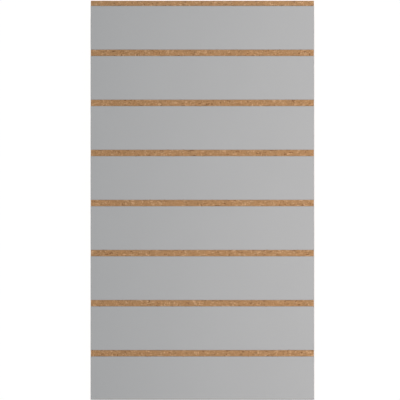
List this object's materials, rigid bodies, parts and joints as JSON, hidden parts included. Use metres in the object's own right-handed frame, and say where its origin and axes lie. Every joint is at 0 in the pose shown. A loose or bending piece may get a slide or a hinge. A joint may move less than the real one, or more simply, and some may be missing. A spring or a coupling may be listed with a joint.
{
  "type": "slatwall panel",
  "caption": "Flat display panel: a board with T-shaped grooves milled across it and grey laminate left on its slats, to hold hooks and brackets.",
  "frame": {"origin": "middle of the back face, which lies on the floor", "axes": "+X along the grooves, +Y towards the panel's top edge, +Z out of the grooved face"},
  "size_m": [0.34, 0.6072, 0.0191],
  "materials": {
    "board": "matte",
    "face_laminate": "satin"
  },
  "bodies": {
    "root": {"grooved_board": "board", "laminate_strip_1": "face_laminate", "laminate_strip_2": "face_laminate", "laminate_strip_3": "face_laminate", "laminate_strip_4": "face_laminate", "laminate_strip_5": "face_laminate", "laminate_strip_6": "face_laminate", "laminate_strip_7": "face_laminate", "laminate_strip_8": "face_laminate"}
  },
  "joints": []
}
